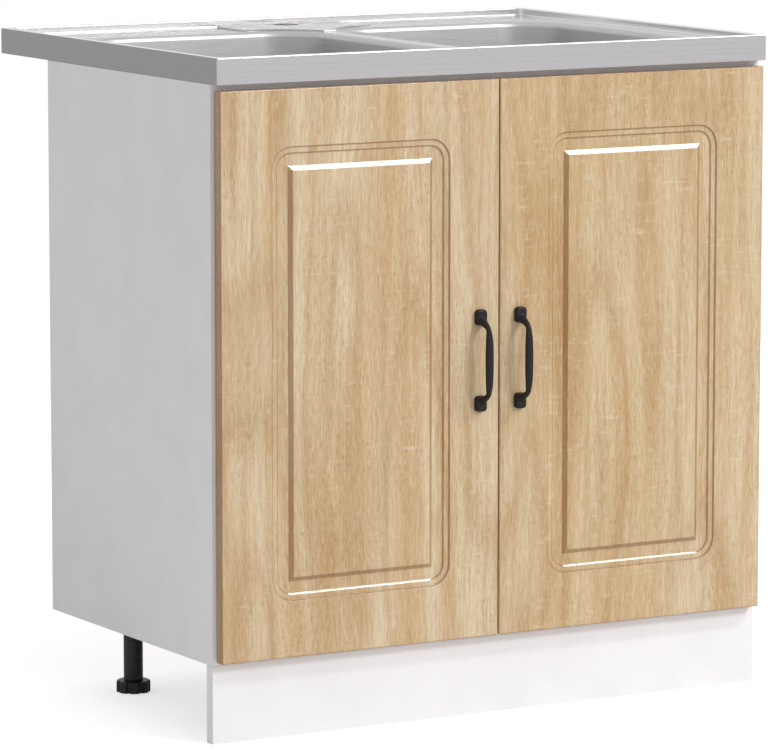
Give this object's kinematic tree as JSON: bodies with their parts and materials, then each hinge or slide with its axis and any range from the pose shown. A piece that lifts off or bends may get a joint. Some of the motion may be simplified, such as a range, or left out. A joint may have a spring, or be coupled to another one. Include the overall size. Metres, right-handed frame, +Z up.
{
  "type": "sink base kitchen cabinet",
  "caption": "Free-standing sink base cabinet with hinged routed-panel doors, bow handles, plinth, levelling legs and a lay-on stainless double-bowl sink.",
  "frame": {"origin": "on the floor, at the middle of the width and of the depth from the handles' fronts to the sink's back edge", "axes": "+X to the right seen from the front, +Y to the back, +Z up"},
  "size_m": [0.8, 0.628, 0.848],
  "materials": {
    "white_board": "white melamine-faced chipboard with matching edging",
    "oak_foil": "light oak foil on routed fibreboard, satin",
    "hardboard": "white-faced thin hardboard",
    "beech": "plain turned beech",
    "stainless": "brushed stainless sheet",
    "black_metal": "matt black powder coat on cast zinc",
    "black_plastic": "moulded black plastic",
    "grey_plastic": "moulded pale grey plastic",
    "nickel": "nickel-plated pressed steel",
    "zinc": "bright zinc-plated steel",
    "rubber": "black moulded rubber",
    "clear_bumper": "soft translucent bumper"
  },
  "bodies": {
    "carcass": {"side_panel_left": "white_board", "side_panel_right": "white_board", "bottom_panel": "white_board", "front_rail": "white_board", "rear_rail": "white_board", "plinth": "white_board", "back_panel": "hardboard", "dowels": "beech", "cam_bolts": "zinc", "cam_locks": "zinc", "leg_screws": "zinc", "hinge_plate_screws": "zinc", "sink_clip_screws": "zinc", "sink_clips": "zinc", "plinth_clips": "black_plastic", "sink_top": "stainless", "leg_socket_front_left": "black_plastic", "leg_socket_front_right": "black_plastic", "leg_socket_rear_left": "black_plastic", "leg_socket_rear_right": "black_plastic", "bowl_left": "stainless", "waste_body_left": "stainless", "waste_gasket_left": "rubber", "waste_nut_left": "grey_plastic", "hinge_arm_left_lower": "nickel", "hinge_plate_left_lower": "nickel", "hinge_arm_left_upper": "nickel", "hinge_plate_left_upper": "nickel", "bowl_right": "stainless", "waste_body_right": "stainless", "waste_gasket_right": "rubber", "waste_nut_right": "grey_plastic", "hinge_arm_right_lower": "nickel", "hinge_plate_right_lower": "nickel", "hinge_arm_right_upper": "nickel", "hinge_plate_right_upper": "nickel"},
    "foot_front_left": {"foot_front_left": "black_plastic"},
    "foot_front_right": {"foot_front_right": "black_plastic"},
    "foot_rear_left": {"foot_rear_left": "black_plastic"},
    "foot_rear_right": {"foot_rear_right": "black_plastic"},
    "strainer_left": {"strainer_basket_left": "stainless"},
    "door_left": {"door_left": "oak_foil", "handle_left": "black_metal", "handle_screws_left": "zinc", "door_bumpers_left": "clear_bumper", "hinge_pins_left": "nickel", "hinge_cup_screws_left": "zinc", "hinge_cup_left_lower": "nickel", "hinge_cup_left_upper": "nickel"},
    "strainer_right": {"strainer_basket_right": "stainless"},
    "door_right": {"door_right": "oak_foil", "handle_right": "black_metal", "handle_screws_right": "zinc", "door_bumpers_right": "clear_bumper", "hinge_pins_right": "nickel", "hinge_cup_screws_right": "zinc", "hinge_cup_right_lower": "nickel", "hinge_cup_right_upper": "nickel"}
  },
  "joints": [
    {"name": "door_left_hinge", "type": "hinge", "parent": "carcass", "child": "door_left", "pos_m": [-0.3895, -0.279, 0.455], "axis": [0, 0, -1], "range_deg": [0, 100]},
    {"name": "door_right_hinge", "type": "hinge", "parent": "carcass", "child": "door_right", "pos_m": [0.3895, -0.279, 0.455], "axis": [0, 0, 1], "range_deg": [0, 100]},
    {"name": "strainer_left_lift", "type": "slide", "parent": "carcass", "child": "strainer_left", "axis": [0, 0, 1], "range_m": [0, 0.2]},
    {"name": "strainer_right_lift", "type": "slide", "parent": "carcass", "child": "strainer_right", "axis": [0, 0, 1], "range_m": [0, 0.2]},
    {"name": "foot_front_left_turn", "type": "hinge", "parent": "carcass", "child": "foot_front_left", "pos_m": [-0.333, -0.206, 0.03], "axis": [0, 0, 1], "range_deg": [-360, 360]},
    {"name": "foot_front_right_turn", "type": "hinge", "parent": "carcass", "child": "foot_front_right", "pos_m": [0.333, -0.206, 0.03], "axis": [0, 0, 1], "range_deg": [-360, 360]},
    {"name": "foot_rear_left_turn", "type": "hinge", "parent": "carcass", "child": "foot_rear_left", "pos_m": [-0.333, 0.077, 0.03], "axis": [0, 0, 1], "range_deg": [-360, 360]},
    {"name": "foot_rear_right_turn", "type": "hinge", "parent": "carcass", "child": "foot_rear_right", "pos_m": [0.333, 0.077, 0.03], "axis": [0, 0, 1], "range_deg": [-360, 360]}
  ]
}
